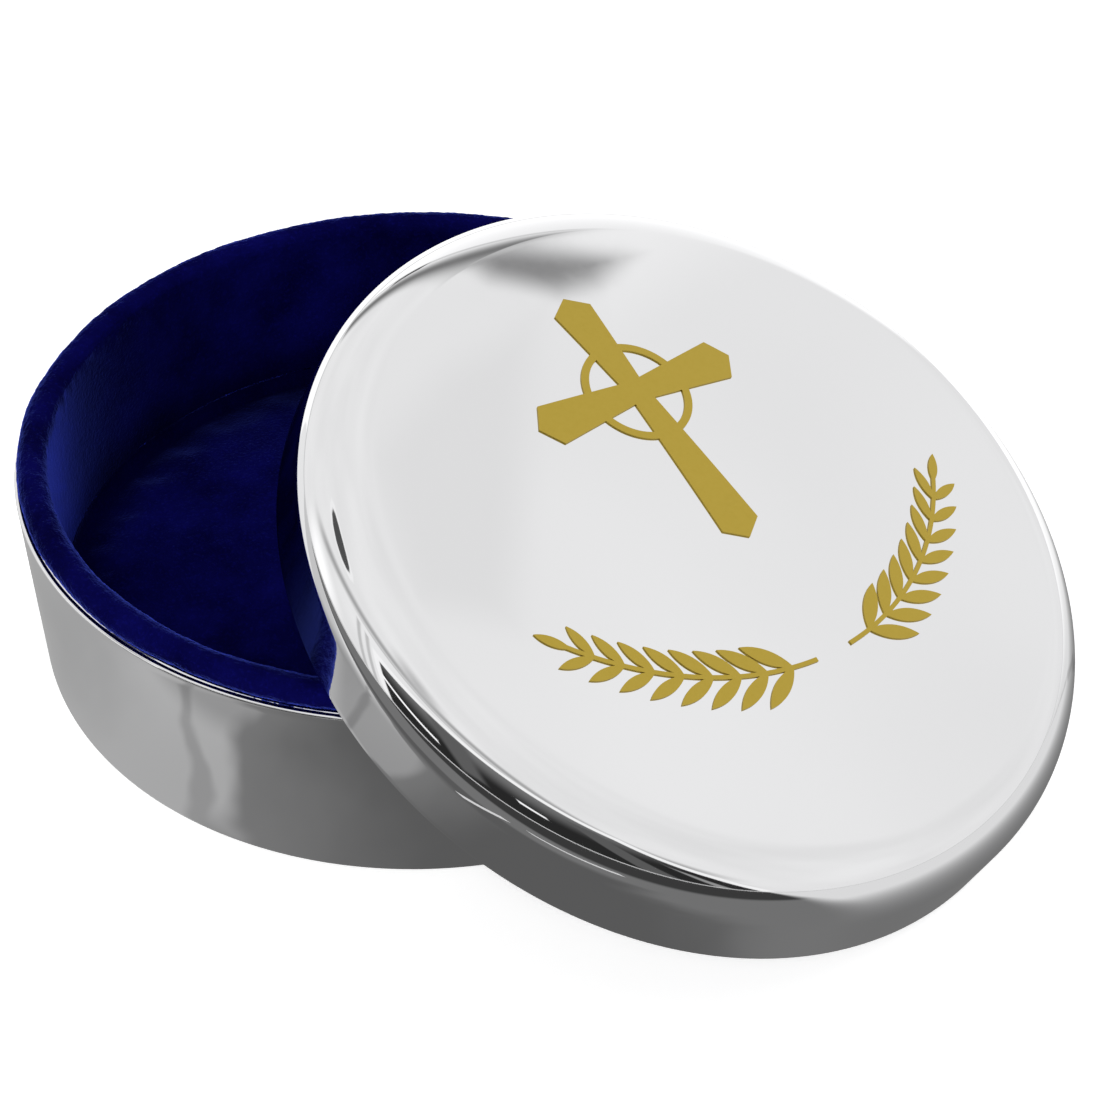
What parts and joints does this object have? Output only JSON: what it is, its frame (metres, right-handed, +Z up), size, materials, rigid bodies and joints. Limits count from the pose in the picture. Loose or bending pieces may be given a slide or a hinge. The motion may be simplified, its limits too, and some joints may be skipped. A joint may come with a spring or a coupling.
{
  "type": "round keepsake box",
  "caption": "Round plated metal box for a rosary, lined with blue velvet, with a lift-off domed lid that leans against it.",
  "frame": {"origin": "centre of the box's flat underside", "axes": "+Z up out of the box; +X towards the side on which the lid leans down to the table; +Y completes a right-handed set"},
  "size_m": [0.1226, 0.09, 0.047],
  "materials": {
    "plated_metal": "mirror polished",
    "blue_velvet": "soft pile",
    "card": "matte",
    "wadding": "soft",
    "gold": "satin"
  },
  "bodies": {
    "box": {"body_shell": "plated_metal", "collar_card": "card", "collar_velvet": "blue_velvet", "floor_card": "card", "floor_wadding": "wadding", "floor_velvet": "blue_velvet"},
    "lid": {"lid_shell": "plated_metal", "lid_card": "card", "lid_wadding": "wadding", "lid_velvet": "blue_velvet", "gold_cross": "gold", "gold_spray_left": "gold", "gold_spray_right": "gold"}
  },
  "joints": [
    {"name": "lid_lift", "type": "slide", "parent": "box", "child": "lid", "axis": [0, 0, 1], "range_m": [0, 0.08]}
  ]
}
